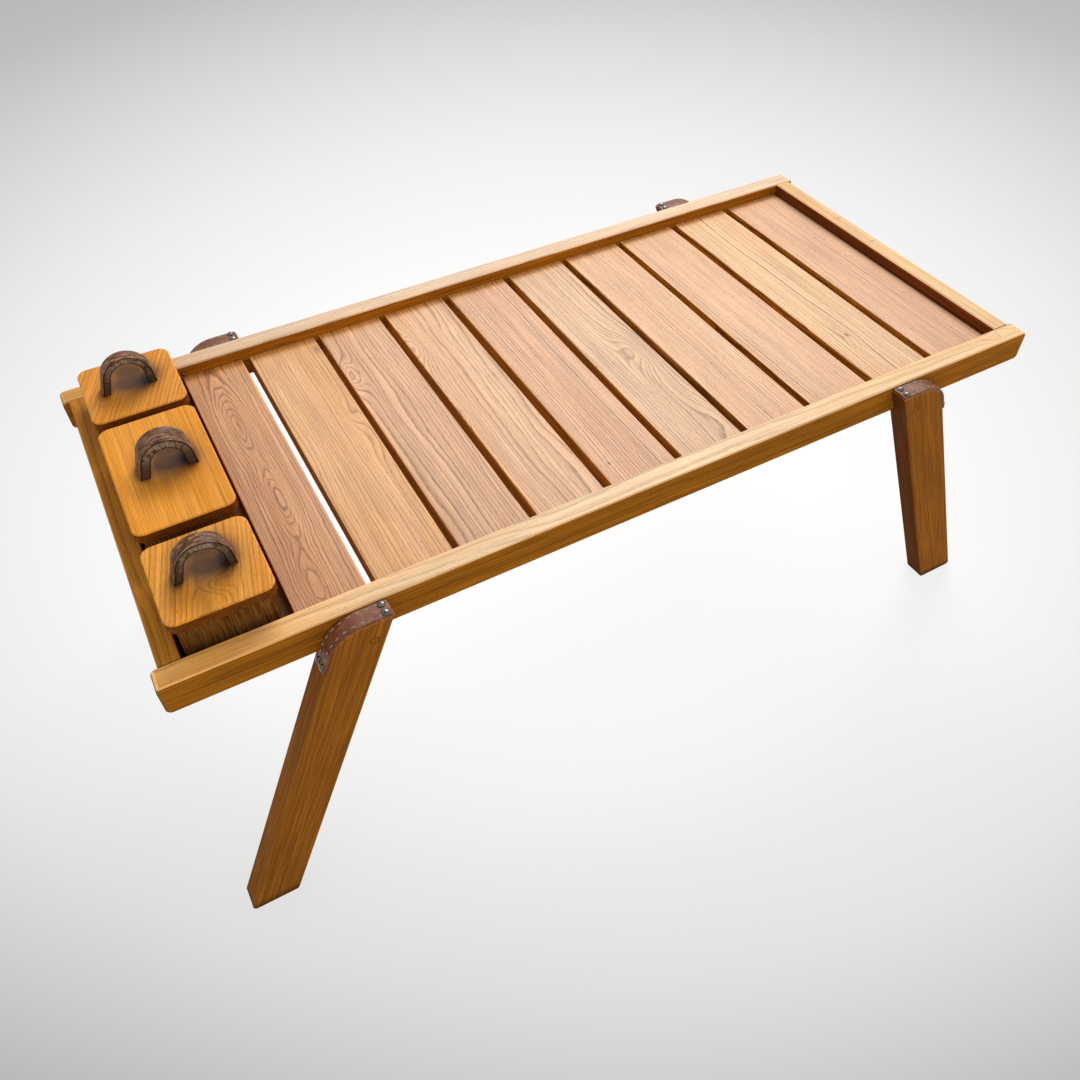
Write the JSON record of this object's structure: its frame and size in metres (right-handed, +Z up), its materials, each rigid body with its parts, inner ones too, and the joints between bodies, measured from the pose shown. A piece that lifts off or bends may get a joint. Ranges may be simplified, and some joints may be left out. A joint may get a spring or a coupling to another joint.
{
  "type": "low slatted tray table with lidded boxes",
  "caption": "Low rectangular tray table of wooden slats on splayed legs with leather-capped tops, and a bay holding lift-out boxes with leather-looped lids.",
  "frame": {"origin": "on the floor under the middle of the table", "axes": "+X along the table's length with the box bay at the -X end, front at -Y, +Z up"},
  "size_m": [1.1398, 0.534, 0.5145],
  "materials": {
    "rail_wood": "satin oiled elm, golden",
    "end_rail_wood": "satin oiled elm, golden",
    "slat_wood": "satin oiled elm, pinkish tan",
    "leg_wood": "satin oiled elm, darker",
    "bearer_wood": "plain sawn softwood",
    "plug_wood": "satin oiled elm",
    "lid_wood": "satin oiled elm, orange gold",
    "box_wood": "rough sawn, dark",
    "strap_leather": "waxed saddle leather, red brown",
    "handle_leather": "worn saddle leather, dark brown",
    "lining_leather": "raw layered leather, grey tan",
    "nail_steel": "darkened dome-headed nails",
    "screw_steel": "plain hexagon-headed wood screws"
  },
  "bodies": {
    "table": {"bay_bearer_left": "bearer_wood", "bay_bearer_right": "bearer_wood", "front_rail": "rail_wood", "left_end_rail": "end_rail_wood", "leg_front_left": "leg_wood", "leg_front_right": "leg_wood", "leg_plugs": "plug_wood", "leg_rear_left": "leg_wood", "leg_rear_right": "leg_wood", "leg_screws": "screw_steel", "leg_strap_front_left": "strap_leather", "leg_strap_front_right": "strap_leather", "leg_strap_rear_left": "strap_leather", "leg_strap_rear_right": "strap_leather", "rear_rail": "rail_wood", "right_end_rail": "end_rail_wood", "slat_01": "slat_wood", "slat_02": "slat_wood", "slat_03": "slat_wood", "slat_04": "slat_wood", "slat_05": "slat_wood", "slat_06": "slat_wood", "slat_07": "slat_wood", "slat_08": "slat_wood", "slat_09": "slat_wood", "slat_10": "slat_wood", "strap_nails": "nail_steel"},
    "front_box": {"box_front_floor": "box_wood", "box_front_front_wall": "box_wood", "box_front_left_wall": "box_wood", "box_front_rear_wall": "box_wood", "box_front_right_wall": "box_wood"},
    "front_lid": {"lid_front": "lid_wood", "lid_panel_front": "box_wood", "handle_strap_front": "handle_leather", "handle_lining_front": "lining_leather"},
    "middle_box": {"box_middle_floor": "box_wood", "box_middle_front_wall": "box_wood", "box_middle_left_wall": "box_wood", "box_middle_rear_wall": "box_wood", "box_middle_right_wall": "box_wood"},
    "middle_lid": {"lid_middle": "lid_wood", "lid_panel_middle": "box_wood", "handle_strap_middle": "handle_leather", "handle_lining_middle": "lining_leather"},
    "rear_box": {"box_rear_floor": "box_wood", "box_rear_front_wall": "box_wood", "box_rear_left_wall": "box_wood", "box_rear_rear_wall": "box_wood", "box_rear_right_wall": "box_wood"},
    "rear_lid": {"lid_rear": "lid_wood", "lid_panel_rear": "box_wood", "handle_strap_rear": "handle_leather", "handle_lining_rear": "lining_leather"}
  },
  "joints": [
    {"name": "front_box_lift", "type": "slide", "parent": "table", "child": "front_box", "axis": [0, 0, 1], "range_m": [0, 0.06]},
    {"name": "front_lid_lift", "type": "slide", "parent": "front_box", "child": "front_lid", "axis": [0, 0, 1], "range_m": [0, 0.04]},
    {"name": "middle_box_lift", "type": "slide", "parent": "table", "child": "middle_box", "axis": [0, 0, 1], "range_m": [0, 0.06]},
    {"name": "middle_lid_lift", "type": "slide", "parent": "middle_box", "child": "middle_lid", "axis": [0, 0, 1], "range_m": [0, 0.04]},
    {"name": "rear_box_lift", "type": "slide", "parent": "table", "child": "rear_box", "axis": [0, 0, 1], "range_m": [0, 0.06]},
    {"name": "rear_lid_lift", "type": "slide", "parent": "rear_box", "child": "rear_lid", "axis": [0, 0, 1], "range_m": [0, 0.04]}
  ]
}
